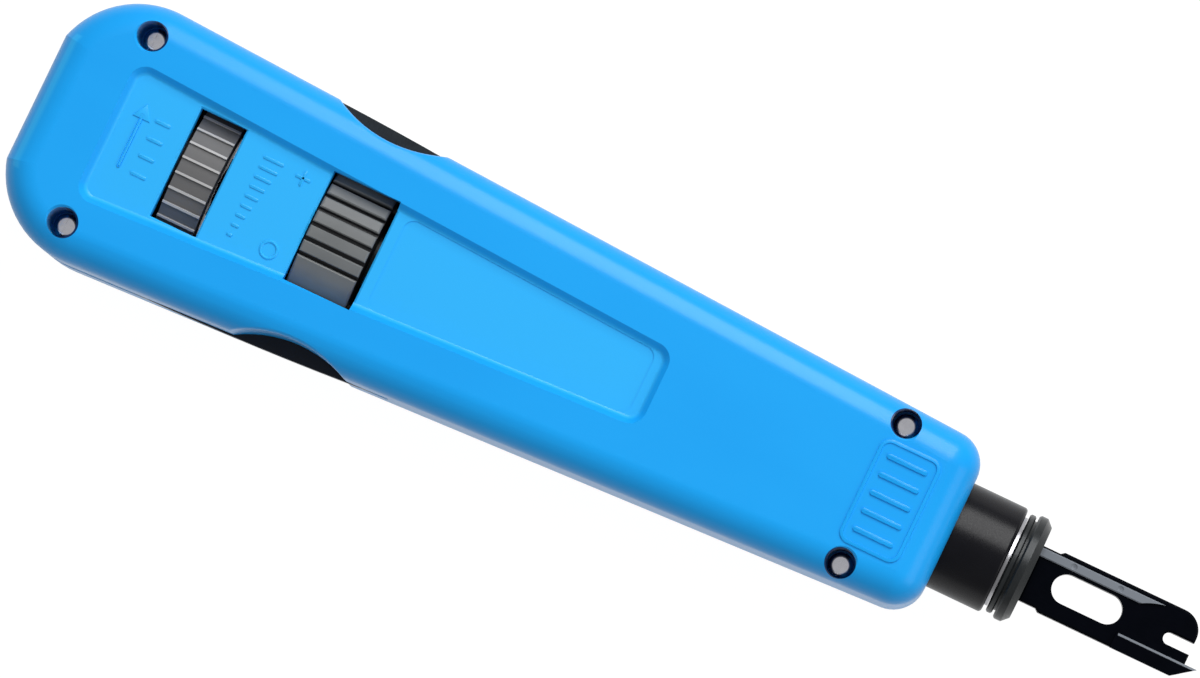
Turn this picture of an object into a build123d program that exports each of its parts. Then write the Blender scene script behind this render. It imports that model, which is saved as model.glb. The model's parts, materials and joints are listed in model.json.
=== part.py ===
from build123d import *
import math
import os

# Impact punch down tool, in millimetres.
# Pieces are modelled in the tool's own frame: +X runs along the tool's axis from the rear end
# to the blade tip, +Z comes out of the face with the windows. The last step moves every piece
# so that the origin is the middle of the whole tool's box, at the surface that it lies on.

# Housing: two shells that meet at the plane of the axis
housing_length = 138.3
housing_depth = 27.0
rear_half_width = 18.75
front_half_width = 12.5
rear_flat_half_width = 9.3
rear_corner_radius = 13.1
front_corner_radius = 4.7
face_edge_radius = 4.6
side_wall = 2.2
end_wall = 2.2
roof = 2.0
rib_thickness = 2.5

# Recessed panel on each face, and the shallow pad for a label in it
panel_start = 10.9
panel_length = 83.2
panel_depth = 1.0
panel_rear_half_width = 10.25
panel_front_half_width = 5.75
panel_corner_radius = 2.4
panel_slope = 45.0
panel_foot_radius = 0.4
pad_start = 53.4
pad_length = 38.5
pad_depth = 0.15
pad_margin = 1.1
pad_corner_radius = 1.6

# Windows for the two wheels
window_half_height = 8.15
storage_window_start = 21.5
storage_window_length = 6.9
impact_window_start = 41.6
impact_window_length = 10.1
window_rim = 0.25

# Thumb notches in both sides
notch_length = 16.8
notch_depth = 2.15
notch_setback = 0.5
notch_edge = 0.7
notch_wall = 1.5

# Housing screws
screw_radius = 1.1
screw_length = 14.2
screw_head_radius = 1.75
screw_head_height = 1.3
screw_head_sink = 7.0
screw_hole_radius = 2.05
screw_boss_wall = 1.2
screw_hole_rim = 0.3
screw_end_room = 1.0
rear_screw_x = 11.1
front_screw_setback = 11.7
front_screw_inset = 2.05
cross_width = 0.55
cross_span = 2.2
cross_depth = 0.6

# Blade storage in the rear end
storage_bore_radius = 8.2
storage_bore_edge = 0.4
storage_tube_wall = 1.0
storage_arm_gap = 0.8
storage_tube_gap = 0.4
storage_flange_width = 1.6
storage_rib_setback = 4.5
storage_wheel_gap = 0.5
storage_wheel_width = 5.6
storage_wheel_sink = 0.1
storage_ridge_count = 34
storage_ridge_height = 0.35
storage_ridge_width = 0.32
lock_plate_thickness = 2.0
lock_plate_inset = 0.6
socket_gap = 0.5
socket_rib_offset = 1.6

# Impact adjuster
impact_knob_gap = 0.25
impact_knob_width = 8.95
impact_knob_sink = 0.6
impact_knob_edge = 0.35
impact_rib_count = 36
impact_groove_width = 0.6
impact_groove_depth = 0.9
impact_groove_flare = 0.16
plain_zone_start = 22.8
plain_zone_angle = 30.0
nut_radius = 7.0
nut_wall = 2.0
bulkhead_thickness = 3.6
thrust_washer_thickness = 1.95
click_ring_thickness = 0.6
click_bump_gap = 0.3
ring_roof_gap = 0.3

# Impact mechanism
barrel_setback = 2.4
barrel_nose_room = 17.9
barrel_bore_radius = 7.8
barrel_wall = 1.0
barrel_journal_length = 3.0
barrel_lip = 2.0
seat_head_length = 3.0
seat_stem_length = 15.0
seat_key_width = 2.0
seat_key_travel = 3.0
main_wire_radius = 0.8
main_coil_radius = 5.8
main_pitch = 3.75
hammer_length = 25.0
hammer_edge = 0.5
plunger_stroke = 8.0
collar_length = 2.4
sear_thickness = 3.0
sear_width = 9.0
sear_height = 11.0
sear_travel = 1.4
sear_setback = 7.0
sear_floor = 1.3
sear_edge = 0.8
rod_radius = 2.4
rod_edge = 0.4
return_wire_radius = 0.35
return_coil_radius = 3.9
return_turns = 7
sear_wire_radius = 0.25
sear_coil_radius = 0.9
sear_turns = 4
sear_pocket_depth = 3.3
spring_pocket_depth = 5.0

# Plunger head and the socket for the blade
sleeve_radius = 7.8
sleeve_out = 8.2
sleeve_in = 8.9
sleeve_edge = 0.5
socket_radius = 6.6
socket_lip = 0.45
nose_bush_wall = 1.5
nose_bush_length = 7.1
nose_lip = 1.2
catch_ball_radius = 1.0
catch_ring_thickness = 0.6
catch_ring_width = 1.8
catch_from_front = 10.0

# Blade with its twist-lock shank
shank_radius = 3.0
shank_length = 20.0
shank_edge = 0.6
lug_radius = 4.2
lug_width = 2.0
lug_length = 2.4
lug_from_flange = 15.6
flange_gap = 0.1
rim_radius = 7.35
rim_thickness = 0.9
rim_edge = 0.2
flange_groove = 0.35
flange_groove_radius = 6.7
flange_radius = 7.75
flange_thickness = 2.15
flange_chamfer = 0.95
flange_rear_edge = 0.25
neck_half_width = 4.1
neck_length = 3.1
blade_length = 21.15
blade_half_width = 4.5
blade_thickness = 2.4
blade_corner_radius = 3.0
blade_step = 0.5
blade_edge = 0.3
slot_half_width = 2.1
slot_setback = 0.2
slot_length = 10.3
wire_notch_width = 1.7
wire_notch_depth = 4.25
wire_notch_offset = -0.02
rail_inner = 2.6
rail_outer = 3.85
rail_rise = 0.35
rail_length = 15.2
rail_scoop = 3.4
rail_hollow = 0.64
rail_edge = 0.15
rail_dimple_radius = 0.6
rail_dimple_depth = 0.22
rail_dimple_first = 5.0
rail_dimple_pitch = 7.0
cutter_inner = 2.3
cutter_outer = 4.6
cutter_length = 10.25
cutter_reach = 1.85
cutter_slant = 3.1
cutter_thickness = 1.1
cutter_rise = 0.45

# Fold-out spudger and hook in the seam
arm_thickness = 2.4
arm_inset = 0.1
arm_bulge = 0.25
arm_length = 48.5
arm_eye_inset = 0.55
arm_gap = 0.1
arm_side_gap = 0.3
arm_knob_gap = 0.334
arm_slot_end_gap = 1.0
pivot_radius = 2.0
hook_wall = 1.1
hook_end = 1.0
fork_width = 1.2
fork_depth = 4.0

# Clearances
running_fit = 0.05
seat_fit = 0.02
face_gap = 0.1

# How far a cut runs past the face that it opens
overshoot = 1.0

# Places that follow from the sizes above
half_depth = housing_depth / 2
roof_underside = half_depth - panel_depth - roof
ring_radius = roof_underside - ring_roof_gap
front_screw_x = housing_length - front_screw_setback
front_screw_y = front_half_width - front_screw_inset
notch_middle = impact_window_start + impact_window_length / 2 - notch_setback
storage_tube_radius = storage_bore_radius + storage_tube_wall
arm_eye_radius = (rear_half_width - arm_eye_inset - storage_tube_radius - storage_arm_gap) / 2
rear_screw_y = storage_tube_radius + storage_arm_gap + arm_eye_radius
storage_rib_start = storage_window_start - storage_rib_setback
storage_rib_end = storage_rib_start + rib_thickness
storage_wheel_radius = half_depth - panel_depth - storage_wheel_sink
storage_wheel_start = storage_window_start + storage_wheel_gap
storage_wheel_end = storage_wheel_start + storage_wheel_width
lock_plate_end = storage_wheel_end - lock_plate_inset
lock_plate_start = lock_plate_end - lock_plate_thickness
storage_tube_end = lock_plate_start - storage_tube_gap
storage_socket_start = storage_wheel_end + socket_gap
impact_knob_radius = half_depth - impact_knob_sink
impact_knob_start = impact_window_start + impact_knob_gap
impact_knob_end = impact_knob_start + impact_knob_width
thrust_washer_end = impact_knob_start - face_gap
bulkhead_end = thrust_washer_end - thrust_washer_thickness
bulkhead_start = bulkhead_end - bulkhead_thickness
barrel_radius = barrel_bore_radius + barrel_wall
barrel_start = impact_knob_end + barrel_setback
barrel_end = housing_length - barrel_nose_room
nose_bush_end = housing_length - nose_lip
nose_bush_start = nose_bush_end - nose_bush_length
seat_start = barrel_start + barrel_journal_length + face_gap
seat_end = seat_start + seat_head_length
collar_end = barrel_end - barrel_lip - face_gap
collar_start = collar_end - collar_length
hammer_end = collar_start - plunger_stroke - face_gap
hammer_start = hammer_end - hammer_length
sear_end = hammer_end - sear_setback
sear_start = sear_end - sear_thickness
nose_front = housing_length + sleeve_out
socket_front = nose_front + socket_lip
flange_start = socket_front + flange_gap
flange_end = flange_start + rim_thickness + flange_groove + flange_thickness
blade_start = flange_end + neck_length
blade_end = blade_start + blade_length
tip_x = blade_end + cutter_reach
overall_length = tip_x
arm_half = arm_thickness / 2
slot_half = arm_half + arm_gap
screw_seat = half_depth - screw_head_sink - screw_head_height

# Rear corner arc, and the straight side that leaves it at a tangent
corner_y = rear_half_width - rear_corner_radius
corner_x = math.sqrt(rear_corner_radius**2 - (rear_flat_half_width - corner_y) ** 2)
to_front = Vector(housing_length - corner_x, front_half_width - corner_y)
tangent_angle = math.atan2(to_front.Y, to_front.X) + math.acos(rear_corner_radius / to_front.length)
side_slope = -1 / math.tan(tangent_angle)


def side_y(x, inset=0.0):
    """Half width of the housing at x, moved in by inset."""
    radius = rear_corner_radius - inset
    start_x = corner_x + radius * math.cos(tangent_angle)
    start_y = corner_y + radius * math.sin(tangent_angle)
    return start_y + (x - start_x) * side_slope


# The arms fill the seam between the side of the housing and the impact knob
arm_room = side_y(impact_knob_end) - impact_knob_radius - arm_knob_gap
arm_width = arm_room * math.cos(math.atan(side_slope)) - arm_inset
hook_radius = (arm_width - hook_wall) / 2


def arc_point(angle, radius):
    """Point of the rear corner arc."""
    return (corner_x + radius * math.cos(angle), corner_y + radius * math.sin(angle))


def housing_outline(inset, front):
    """Plan of the housing, moved in by inset at the rear and the sides, and ending at front."""
    radius = rear_corner_radius - inset
    start_angle = math.pi - math.asin(math.sqrt(radius**2 - (corner_x - inset) ** 2) / radius)
    start = arc_point(start_angle, radius)
    middle = arc_point((start_angle + tangent_angle) / 2, radius)
    tangent = arc_point(tangent_angle, radius)
    corner = (front, side_y(front, inset))
    arc = ThreePointArc(start, middle, tangent)
    side = Line(tangent, corner)
    rear = Line((inset, -start[1]), start)
    nose = Line(corner, (front, -corner[1]))
    upper = arc + side
    return make_face(rear + upper + nose + mirror(upper, Plane.XZ))


def along_x(radius, start, end):
    """Solid cylinder on the tool's axis from start to end."""
    face = Plane.YZ.offset(start) * Circle(radius)
    return extrude(face, amount=end - start)


def ring(outer, inner, start, end):
    """Tube on the tool's axis."""
    return along_x(outer, start, end) - along_x(inner, start - overshoot, end + overshoot)


def block(start, end, low, high, bottom, top):
    """Box between two corners."""
    size = (end - start, high - low, top - bottom)
    middle = ((start + end) / 2, (low + high) / 2, (bottom + top) / 2)
    return Pos(*middle) * Box(*size)


def upright(x, y, radius, bottom, top):
    """Cylinder along Z from bottom to top."""
    return Pos(x, y, (bottom + top) / 2) * Cylinder(radius, top - bottom)


def upright_spring(radius, wire_radius, turns, bottom, top):
    """Compression spring along Z that fills the room from bottom to top."""
    height = top - bottom - 2 * wire_radius
    path = Helix(pitch=height / turns, height=height, radius=radius)
    section = Plane(origin=path @ 0, z_dir=path % 0) * Circle(wire_radius)
    return Pos(0, 0, bottom + wire_radius) * sweep(section, path=path, is_frenet=True)


def spring_along_x(radius, wire_radius, turns, start, end):
    """Compression spring on the tool's axis, between two x values."""
    return Rot(0, 90, 0) * upright_spring(radius, wire_radius, turns, start, end)


def along_y(x, radius, start, end):
    """Cylinder along Y at x, at the height of the tool's axis."""
    return Pos(x, (start + end) / 2, 0) * Rot(90, 0, 0) * Cylinder(radius, end - start)


def screw_places():
    """Centres of the four housing screws."""
    rear = [(rear_screw_x, side * rear_screw_y) for side in (1, -1)]
    front = [(front_screw_x, side * front_screw_y) for side in (1, -1)]
    return rear + front


def notch_cut(side):
    """Cut of one thumb notch: a round scoop in the side line."""
    start = notch_middle - notch_length / 2
    end = notch_middle + notch_length / 2
    rear = (start, side * side_y(start))
    middle = (notch_middle, side * (side_y(notch_middle) - notch_depth))
    front = (end, side * side_y(end))
    outside = side * (rear_half_width + overshoot)
    scoop = ThreePointArc(rear, middle, front)
    edge = Polyline(front, (end, outside), (start, outside), rear)
    return extrude(make_face(scoop + edge), amount=housing_depth, both=True)


def housing_block():
    """Outer form of both shells together."""
    body = extrude(housing_outline(0, housing_length), amount=half_depth, both=True)
    corners = body.edges().filter_by(Axis.Z).group_by(Axis.X)[-1]
    body = fillet(corners, front_corner_radius)
    rims = body.edges().group_by(Axis.Z)[0] + body.edges().group_by(Axis.Z)[-1]
    body = fillet(rims, face_edge_radius)
    body -= notch_cut(1)
    body -= notch_cut(-1)
    scoops = body.edges().filter_by(GeomType.BSPLINE)
    scoops = [edge for edge in scoops if abs(edge.center().X - notch_middle) < notch_length / 4]
    return fillet(scoops, notch_edge)


def tapered_plan(start, length, rear_half, front_half, corner):
    """Plan that narrows towards the front, with rounded corners."""
    end = start + length
    points = [(start, -rear_half), (start, rear_half), (end, front_half), (end, -front_half)]
    plan = make_face(Polyline(*points, close=True))
    return fillet(plan.vertices(), corner)


def panel_half_width(x):
    """Half width of the recessed panel at x."""
    share = (x - panel_start) / panel_length
    return panel_rear_half_width + share * (panel_front_half_width - panel_rear_half_width)


def panel_cut():
    """Recess in the upper face, with the shallow pad in it."""
    halves = (panel_rear_half_width, panel_front_half_width)
    plan = tapered_plan(panel_start, panel_length, *halves, panel_corner_radius)
    recess = Pos(0, 0, half_depth) * extrude(plan, amount=-panel_depth, taper=panel_slope)
    recess = fillet(recess.faces().sort_by(Axis.Z)[0].edges(), panel_foot_radius)
    pad_rear = panel_half_width(pad_start) - pad_margin
    pad_front = panel_half_width(pad_start + pad_length) - pad_margin
    plan = tapered_plan(pad_start, pad_length, pad_rear, pad_front, pad_corner_radius)
    return recess + Pos(0, 0, half_depth) * extrude(plan, amount=-panel_depth - pad_depth)


def window_cuts():
    """Openings in the upper face for both wheels."""
    room = (-window_half_height, window_half_height, 0, half_depth + overshoot)
    cuts = block(storage_window_start, storage_window_start + storage_window_length, *room)
    cuts += block(impact_window_start, impact_window_start + impact_window_length, *room)
    level = Plane.XY.offset(half_depth - panel_depth)
    mouths = section(cuts, section_by=level)
    rims = extrude(offset(mouths, window_rim), amount=-window_rim, taper=45.0)
    return cuts + rims


def arm_slot(side):
    """Slot in the seam for one fold-out arm and for its swing."""
    reach = rear_screw_x + arm_length + arm_slot_end_gap
    shoulder = rear_screw_x + 2 * arm_eye_radius
    inner = arm_inset + arm_width + arm_side_gap
    outside = rear_half_width + overshoot
    behind = rear_screw_x - arm_eye_radius
    floor = rear_screw_y - pivot_radius
    points = [(reach, side_y(reach, inner)), (reach, outside), (-overshoot, outside), (-overshoot, floor)]
    points += [(behind, floor), (rear_screw_x, rear_screw_y), (shoulder, side_y(shoulder, inner))]
    points = [(x, side * y) for x, y in points]
    plan = make_face(Polyline(*points, close=True))
    slot = extrude(plan, amount=slot_half, both=True)
    slot += upright(rear_screw_x, side * rear_screw_y, arm_eye_radius + arm_side_gap, -slot_half, slot_half)
    return slot


def mechanism_cut():
    """Room for all that lies on the tool's axis."""
    cut = along_x(storage_tube_radius + seat_fit, -overshoot, storage_rib_end + overshoot)
    cut += along_x(ring_radius + seat_fit, storage_rib_end, bulkhead_start)
    cut += along_x(nut_radius + running_fit, bulkhead_start - overshoot, barrel_start)
    cut += along_x(barrel_radius + seat_fit, barrel_start, barrel_end + overshoot)
    cut += along_x(sleeve_radius + arm_side_gap, barrel_end, housing_length + overshoot)
    return cut + along_x(sleeve_radius + nose_bush_wall + seat_fit, nose_bush_start, nose_bush_end)


def shell_ribs():
    """Start and end of each wall that crosses the inside of the shells."""
    socket_rib = storage_socket_start + socket_rib_offset
    journal_rib = barrel_start + barrel_journal_length
    thin_ribs = [storage_rib_start, socket_rib, journal_rib, hammer_start, barrel_end - rib_thickness]
    ribs = [(start, start + rib_thickness) for start in thin_ribs]
    return ribs + [(bulkhead_start, bulkhead_end), (nose_bush_start, housing_length)]


def plain_shell():
    """Half of the housing above the seam, before its screw holes."""
    width = 2 * rear_half_width
    half = housing_block() & block(0, housing_length, -width, width, 0, housing_depth)
    cavity = extrude(housing_outline(side_wall, housing_length - end_wall), amount=roof_underside)
    for start, end in shell_ribs():
        cavity -= block(start, end, -width, width, -overshoot, housing_depth)
    for x, y in screw_places():
        cavity -= upright(x, y, screw_hole_radius + screw_boss_wall, -overshoot, housing_depth)
    notch_span = (notch_middle - notch_length / 2, notch_middle + notch_length / 2)
    for side in (1, -1):
        backing = side_y(notch_middle) - notch_depth - notch_wall
        low, high = sorted((side * backing, side * width))
        cavity -= block(*notch_span, low, high, -overshoot, housing_depth)
    shell = half - cavity
    shell -= mechanism_cut()
    shell -= panel_cut()
    shell -= window_cuts()
    for side in (1, -1):
        shell -= arm_slot(side)
    return shell


def upper_shell(shell):
    """Upper shell, with a stepped hole for each screw and its head."""
    for x, y in screw_places():
        shell -= upright(x, y, screw_hole_radius, screw_seat, half_depth + overshoot)
        rim = Cone(screw_hole_radius, screw_hole_radius + screw_hole_rim, screw_hole_rim)
        shell -= Pos(x, y, half_depth - screw_hole_rim / 2) * rim
        shell -= upright(x, y, screw_radius + 2 * seat_fit, -overshoot, screw_seat + overshoot)
    return shell


def lower_shell(shell):
    """Lower shell: the same form turned over, with blind holes that the screws bite into."""
    depth = screw_length - screw_seat + screw_end_room
    for x, y in screw_places():
        shell -= upright(x, y, screw_radius + seat_fit, -overshoot, depth)
    return mirror(shell, Plane.XY)


def housing_screws():
    """Four pan-head screws with cross recesses."""
    top = screw_seat + screw_head_height
    screw = upright(0, 0, screw_radius, screw_seat - screw_length, screw_seat)
    head = upright(0, 0, screw_head_radius, screw_seat, top)
    head = fillet(head.edges().group_by(Axis.Z)[-1], screw_head_height / 2)
    span = (-cross_span / 2, cross_span / 2, -cross_width / 2, cross_width / 2)
    cross = block(*span, top - cross_depth, top + overshoot)
    cross += Rot(0, 0, 90) * cross
    screw = screw + head - cross
    return Part() + [Pos(x, y, 0) * screw for x, y in screw_places()]


def arm_bushes():
    """Two spacer bushes round the rear screws, on which the fold-out arms turn."""
    bush = upright(0, 0, pivot_radius, -slot_half, slot_half)
    bush -= upright(0, 0, screw_radius + seat_fit, -slot_half - overshoot, slot_half + overshoot)
    return Part() + [Pos(rear_screw_x, side * rear_screw_y, 0) * bush for side in (1, -1)]


def arm_blank(side):
    """Fold-out arm lying in the seam: an eye on the bush and a bar that bows out at the notch."""
    tip = rear_screw_x + arm_length
    shoulder = rear_screw_x + arm_eye_radius
    inner = arm_inset + arm_width
    outer = [(rear_screw_x, rear_screw_y + arm_eye_radius), (notch_middle, side_y(notch_middle) + arm_bulge)]
    outer += [(tip, side_y(tip, arm_inset))]
    points = [outer[-1], (tip, side_y(tip, inner)), (shoulder, side_y(shoulder, inner))]
    points += [(rear_screw_x, rear_screw_y), outer[0]]
    bow = ThreePointArc(*[(x, side * y) for x, y in outer])
    plan = make_face(bow + Polyline(*[(x, side * y) for x, y in points]))
    arm = extrude(plan, amount=arm_half, both=True)
    eye = (rear_screw_x, side * rear_screw_y)
    arm += upright(*eye, arm_eye_radius, -arm_half, arm_half)
    arm -= upright(*eye, pivot_radius + running_fit, -arm_half - overshoot, arm_half + overshoot)
    tips = arm.edges().filter_by(Axis.Z).group_by(Axis.X)[-1]
    return fillet(tips, arm_width / 4)


def spudger():
    """Arm on the -Y side, with a forked end that pushes wires home."""
    tip = rear_screw_x + arm_length
    middle = side_y(tip, arm_inset + arm_width / 2)
    gap = (-middle - fork_width / 2, -middle + fork_width / 2)
    fork = block(tip - fork_depth, tip + overshoot, *gap, -arm_thickness, arm_thickness)
    return arm_blank(-1) - fork


def wire_hook():
    """Arm on the +Y side, with a hook that pulls wires out."""
    hook_x = rear_screw_x + arm_length - 2 * hook_radius - hook_end
    inner = side_y(hook_x, arm_inset + arm_width)
    bite = upright(hook_x, inner + hook_radius, hook_radius, -arm_thickness, arm_thickness)
    span = (hook_x - hook_radius, hook_x + hook_radius)
    bite += block(*span, 0, inner + hook_radius, -arm_thickness, arm_thickness)
    return arm_blank(1) - bite


def storage_tube():
    """Tube in the rear end that takes a spare blade."""
    tube = along_x(storage_tube_radius, 0, storage_tube_end)
    tube += along_x(ring_radius, storage_rib_end, storage_rib_end + storage_flange_width)
    tube -= along_x(storage_bore_radius, -overshoot, storage_tube_end + overshoot)
    mouth = tube.edges().filter_by(GeomType.CIRCLE).group_by(Axis.X)[0].sort_by(SortBy.RADIUS)[0]
    return chamfer(mouth, storage_bore_edge)


def storage_wheel():
    """Ridged thumbwheel that locks the spare blade, turning on the storage tube."""
    core = along_x(storage_wheel_radius - storage_ridge_height, storage_wheel_start, storage_wheel_end)
    ridge = Pos(storage_wheel_radius / 2, 0) * Rectangle(storage_wheel_radius, storage_ridge_width)
    ridges = Sketch()
    for index in range(storage_ridge_count):
        ridges += Rot(0, 0, index * 360 / storage_ridge_count) * ridge
    ridges = ridges & Circle(storage_wheel_radius)
    wheel = core + extrude(Plane.YZ.offset(storage_wheel_start) * ridges, amount=storage_wheel_width)
    bore = (storage_wheel_start - overshoot, storage_wheel_end + overshoot)
    return wheel - along_x(storage_tube_radius + running_fit, *bore)


def keyhole(radius, start, end, angle):
    """Hole for a shank with two lugs."""
    hole = along_x(shank_radius + running_fit, start, end)
    lugs = block(start, end, -radius, radius, -lug_width / 2 - face_gap, lug_width / 2 + face_gap)
    return hole + Rot(angle, 0, 0) * lugs


def storage_lock_plate():
    """Steel plate in the wheel's bore, with a keyhole that traps the spare blade's lugs."""
    plate = along_x(storage_tube_radius + running_fit, lock_plate_start, lock_plate_end)
    hole = (lock_plate_start - overshoot, lock_plate_end + overshoot)
    return plate - keyhole(lug_radius + face_gap, *hole, 0)


def storage_socket():
    """Fixed socket behind the wheel that holds the spare blade's shank."""
    socket = along_x(ring_radius, storage_socket_start, bulkhead_start)
    lug_room = storage_socket_start + 2 * lug_length
    socket -= along_x(lug_radius + face_gap, storage_socket_start - overshoot, lug_room)
    return socket - along_x(shank_radius + running_fit, storage_socket_start, bulkhead_start + overshoot)


def thrust_washer():
    """Washer between the bulkhead and the impact knob, which takes the main spring's push."""
    return ring(ring_radius, nut_radius + running_fit, bulkhead_end, thrust_washer_end)


def knob_click_spring():
    """Thin spring ring on the end of the barrel, with two round bumps that face the impact knob."""
    face = barrel_start - click_ring_thickness
    bump_radius = face - impact_knob_end - click_bump_gap
    inner = nut_radius + running_fit
    spring = ring(ring_radius, inner, face, barrel_start)
    middle = (ring_radius + inner) / 2
    for side in (1, -1):
        bump = Pos(face, side * middle, 0) * Sphere(bump_radius)
        spring += bump & ring(ring_radius, inner, impact_knob_end, barrel_start)
    return spring


def impact_knob():
    """Ribbed thumbwheel that sets the impact, with a plain zone in its rim."""
    knob = along_x(impact_knob_radius, impact_knob_start, impact_knob_end)
    knob = fillet(knob.edges().filter_by(GeomType.CIRCLE), impact_knob_edge)
    half = impact_groove_width / 2
    mouth = half + 2 * impact_groove_flare
    top = impact_knob_radius + impact_groove_flare
    foot = impact_knob_radius - impact_groove_depth
    throat = impact_knob_radius - impact_groove_flare
    points = [(-half, foot), (-half, throat), (-mouth, top), (mouth, top), (half, throat), (half, foot)]
    groove = make_face(Polyline(*points, close=True))
    grooves = Sketch()
    for index in range(impact_rib_count):
        angle = plain_zone_start + plain_zone_angle + (index + 0.5) * 360 / impact_rib_count
        if angle < 360 + plain_zone_start:
            grooves += Rot(0, 0, angle) * groove
    knob -= extrude(Plane.YZ.offset(impact_knob_start) * grooves, amount=impact_knob_width)
    return knob - along_x(nut_radius + seat_fit, impact_knob_start - overshoot, impact_knob_end + overshoot)


def adjuster_nut():
    """Threaded sleeve in the knob that moves the spring seat."""
    end = barrel_start + barrel_journal_length
    return ring(nut_radius, nut_radius - nut_wall, bulkhead_start + face_gap, end)


def spring_seat():
    """Seat of the main spring: a stem in the nut and a keyed head in the barrel."""
    head = along_x(barrel_bore_radius - running_fit, seat_start, seat_end)
    stem = along_x(nut_radius - nut_wall - running_fit, seat_start - seat_stem_length, seat_start)
    key = block(seat_start, seat_end, -seat_key_width / 2, seat_key_width / 2, 0, barrel_radius - face_gap)
    return head + stem + key


def barrel():
    """Steel guide tube of the hammer and the plunger."""
    tube = along_x(barrel_radius, barrel_start, barrel_end)
    tube -= along_x(nut_radius + running_fit, barrel_start - overshoot, seat_start)
    tube -= along_x(barrel_bore_radius, barrel_start + barrel_journal_length, barrel_end - barrel_lip)
    tube -= along_x(socket_radius + running_fit, barrel_end - barrel_lip - overshoot, barrel_end + overshoot)
    half_key = seat_key_width / 2 + running_fit
    key_way = (seat_start - face_gap, seat_end + seat_key_travel + face_gap, -half_key, half_key)
    return tube - block(*key_way, 0, barrel_radius + overshoot)


def main_spring():
    """Main spring, from the seat to the hammer."""
    start = seat_end + face_gap
    end = hammer_start - face_gap
    turns = round((end - start - 2 * main_wire_radius) / main_pitch)
    return spring_along_x(main_coil_radius, main_wire_radius, turns, start, end)


def hammer():
    """Hammer, with the rod's bore, a pocket for the return spring and a slot for the sear."""
    body = along_x(barrel_bore_radius - running_fit, hammer_start, hammer_end)
    body = chamfer(body.edges().filter_by(GeomType.CIRCLE), hammer_edge)
    body -= along_x(rod_radius + face_gap, hammer_start + rod_radius, hammer_end + overshoot)
    pocket_radius = return_coil_radius + 2 * return_wire_radius + face_gap
    body -= along_x(pocket_radius, hammer_end - spring_pocket_depth, hammer_end + overshoot)
    half_width = sear_width / 2 + running_fit
    floor = sear_floor - barrel_bore_radius
    slot = (sear_start - running_fit, sear_end + running_fit)
    return body - block(*slot, -half_width, half_width, floor, barrel_radius)


def sear():
    """Sliding plate in the hammer, whose hole stands off the rod's line until it trips."""
    bottom = sear_floor - barrel_bore_radius + sear_travel + face_gap
    plate = block(sear_start, sear_end, -sear_width / 2, sear_width / 2, bottom, bottom + sear_height)
    plate = chamfer(plate.edges().filter_by(Axis.X), sear_edge)
    hole = along_x(rod_radius + face_gap, sear_start - overshoot, sear_end + overshoot)
    plate -= Pos(0, 0, sear_travel) * hole
    pocket_radius = sear_coil_radius + 2 * sear_wire_radius
    middle = (sear_start + sear_end) / 2
    return plate - upright(middle, 0, pocket_radius, bottom - overshoot, bottom + sear_pocket_depth)


def sear_spring():
    """Small spring under the sear."""
    bottom = sear_floor - barrel_bore_radius + running_fit
    top = bottom + sear_travel + sear_pocket_depth
    spring = upright_spring(sear_coil_radius, sear_wire_radius, sear_turns, bottom, top)
    return Pos((sear_start + sear_end) / 2, 0, 0) * spring


def return_spring():
    """Light spring that pushes the plunger out again after a blow."""
    start = hammer_end - spring_pocket_depth + face_gap
    end = collar_start - face_gap
    return spring_along_x(return_coil_radius, return_wire_radius, return_turns, start, end)


def striker_rod():
    """Rod of the plunger that pushes on the sear."""
    rod = along_x(rod_radius, sear_end + face_gap, collar_start)
    return chamfer(rod.edges().filter_by(GeomType.CIRCLE).group_by(Axis.X)[0], rod_edge)


def blade_socket():
    """Steel tube of the plunger: collar that stops in the barrel, and socket for the shank."""
    tube = along_x(barrel_bore_radius - running_fit, collar_start, collar_end)
    tube += along_x(socket_radius, collar_start, socket_front)
    shank_end = flange_start - shank_length
    lug_end = flange_start - lug_from_flange + lug_length
    tube -= along_x(shank_radius + running_fit, shank_end - face_gap, socket_front + overshoot)
    tube -= along_x(lug_radius + face_gap, lug_end - 2 * lug_length, lug_end + face_gap)
    tube -= keyhole(lug_radius + face_gap, lug_end - lug_length, socket_front + overshoot, 90)
    catch_x = socket_front - catch_from_front
    half = catch_ring_width / 2 + seat_fit
    groove_radius = socket_radius - catch_ring_thickness - seat_fit
    tube -= ring(socket_radius + overshoot, groove_radius, catch_x - half, catch_x + half)
    return tube - along_y(catch_x, catch_ball_radius + seat_fit, 0, socket_radius)


def catch_ball():
    """Ball that bears on the shank and keeps the blade from rattling."""
    catch_x = socket_front - catch_from_front
    return Pos(catch_x, shank_radius + running_fit + catch_ball_radius, 0) * Sphere(catch_ball_radius)


def catch_ring():
    """Split spring ring that presses the ball inwards."""
    catch_x = socket_front - catch_from_front
    half = catch_ring_width / 2
    spring = ring(socket_radius, socket_radius - catch_ring_thickness, catch_x - half, catch_x + half)
    return spring - block(catch_x - half, catch_x + half, -socket_radius, 0, -half, half)


def plunger_head():
    """Black sleeve on the socket, the part of the plunger that shows."""
    sleeve = along_x(sleeve_radius, housing_length - sleeve_in, nose_front)
    sleeve = fillet(sleeve.edges().filter_by(GeomType.CIRCLE), sleeve_edge)
    bore = (housing_length - sleeve_in - overshoot, nose_front + overshoot)
    return sleeve - along_x(socket_radius + seat_fit, *bore)


def nose_bush():
    """Bush in the housing's nose, in which the plunger slides."""
    return ring(sleeve_radius + nose_bush_wall, sleeve_radius + running_fit, nose_bush_start, nose_bush_end)


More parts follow.
